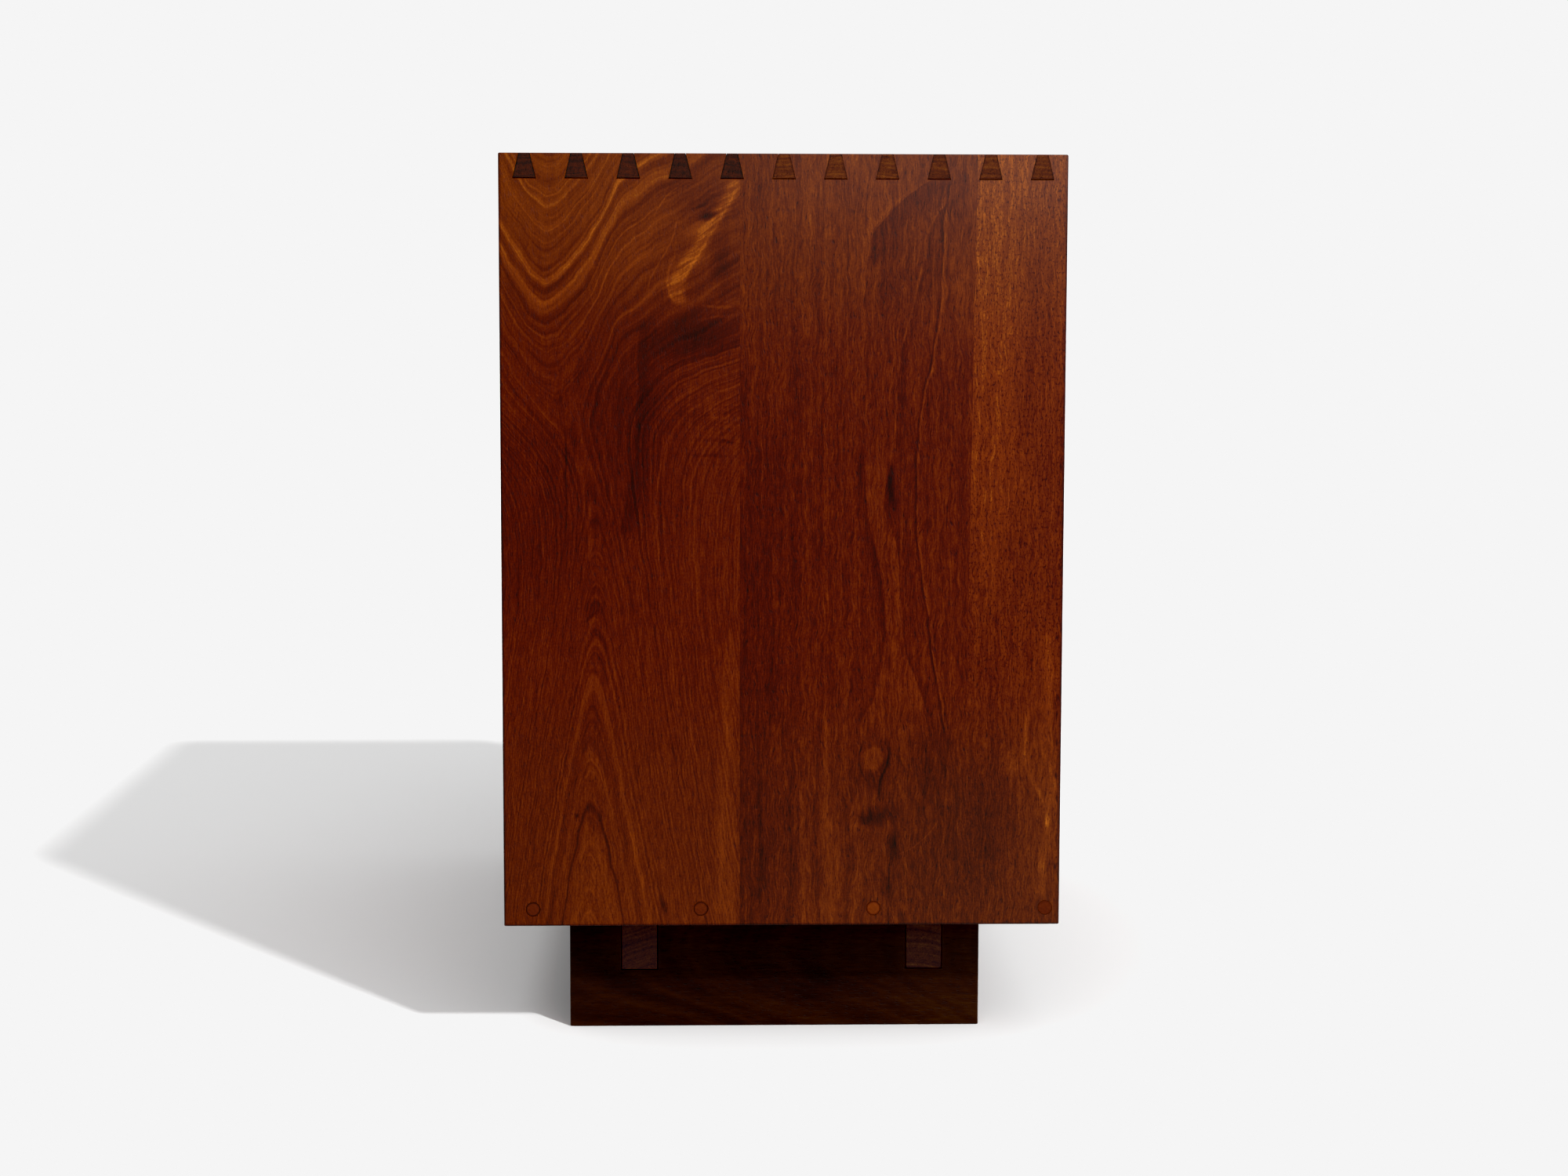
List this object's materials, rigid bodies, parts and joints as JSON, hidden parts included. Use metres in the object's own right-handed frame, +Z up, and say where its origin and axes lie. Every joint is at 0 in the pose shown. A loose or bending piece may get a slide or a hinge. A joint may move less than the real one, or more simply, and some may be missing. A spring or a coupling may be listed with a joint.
{
  "type": "chest of drawers",
  "caption": "Low wooden chest: a dovetailed case of plain boards with sliding drawers pulled by the finger gaps under their fronts, on a recessed base of cross boards and rails.",
  "frame": {"origin": "on the floor under the middle of the case", "axes": "+Z up, X along the chest's length, drawers open towards -Y, the end seen in the picture faces -X"},
  "size_m": [0.9144, 0.508, 0.813],
  "materials": {
    "case_walnut": "oiled walnut, satin",
    "base_walnut": "oiled walnut, satin",
    "peg_walnut": "oiled walnut, sanded flush",
    "drawer_ash": "waxed pale hardwood",
    "drawer_plywood": "lacquered plywood",
    "back_plywood": "walnut-faced plywood, oiled",
    "runner_beech": "waxed pale hardwood",
    "steel_screws": "plain steel",
    "brass_screws": "dulled brass"
  },
  "bodies": {
    "case": {"top_board": "case_walnut", "left_side": "case_walnut", "right_side": "case_walnut", "bottom_board": "case_walnut", "back_panel": "back_plywood", "left_peg_1": "peg_walnut", "left_peg_2": "peg_walnut", "left_peg_3": "peg_walnut", "left_peg_4": "peg_walnut", "right_peg_1": "peg_walnut", "right_peg_2": "peg_walnut", "right_peg_3": "peg_walnut", "right_peg_4": "peg_walnut", "back_screw_1": "brass_screws", "back_screw_2": "brass_screws", "back_screw_3": "brass_screws", "back_screw_4": "brass_screws", "back_screw_5": "brass_screws", "back_screw_6": "brass_screws", "back_screw_7": "brass_screws", "back_screw_8": "brass_screws", "back_screw_9": "brass_screws", "back_screw_10": "brass_screws", "base_cross_board_left": "base_walnut", "base_cross_board_right": "base_walnut", "base_rail_front": "base_walnut", "base_rail_rear": "base_walnut", "base_screw_1": "steel_screws", "base_screw_2": "steel_screws", "base_screw_3": "steel_screws", "base_screw_4": "steel_screws", "runner_1_left": "runner_beech", "runner_1_right": "runner_beech", "runner_2_left": "runner_beech", "runner_2_right": "runner_beech", "runner_3_left": "runner_beech", "runner_3_right": "runner_beech", "runner_4_left": "runner_beech", "runner_4_right": "runner_beech"},
    "drawer_1": {"drawer_1_front": "case_walnut", "drawer_1_left_side": "drawer_ash", "drawer_1_right_side": "drawer_ash", "drawer_1_back": "drawer_ash", "drawer_1_bottom": "drawer_plywood"},
    "drawer_2": {"drawer_2_front": "case_walnut", "drawer_2_left_side": "drawer_ash", "drawer_2_right_side": "drawer_ash", "drawer_2_back": "drawer_ash", "drawer_2_bottom": "drawer_plywood"},
    "drawer_3": {"drawer_3_front": "case_walnut", "drawer_3_left_side": "drawer_ash", "drawer_3_right_side": "drawer_ash", "drawer_3_back": "drawer_ash", "drawer_3_bottom": "drawer_plywood"},
    "drawer_4": {"drawer_4_front": "case_walnut", "drawer_4_left_side": "drawer_ash", "drawer_4_right_side": "drawer_ash", "drawer_4_back": "drawer_ash", "drawer_4_bottom": "drawer_plywood"}
  },
  "joints": [
    {"name": "drawer_1_slide", "type": "slide", "parent": "case", "child": "drawer_1", "axis": [0, -1, 0], "range_m": [0, 0.32]},
    {"name": "drawer_2_slide", "type": "slide", "parent": "case", "child": "drawer_2", "axis": [0, -1, 0], "range_m": [0, 0.32]},
    {"name": "drawer_3_slide", "type": "slide", "parent": "case", "child": "drawer_3", "axis": [0, -1, 0], "range_m": [0, 0.32]},
    {"name": "drawer_4_slide", "type": "slide", "parent": "case", "child": "drawer_4", "axis": [0, -1, 0], "range_m": [0, 0.32]}
  ]
}
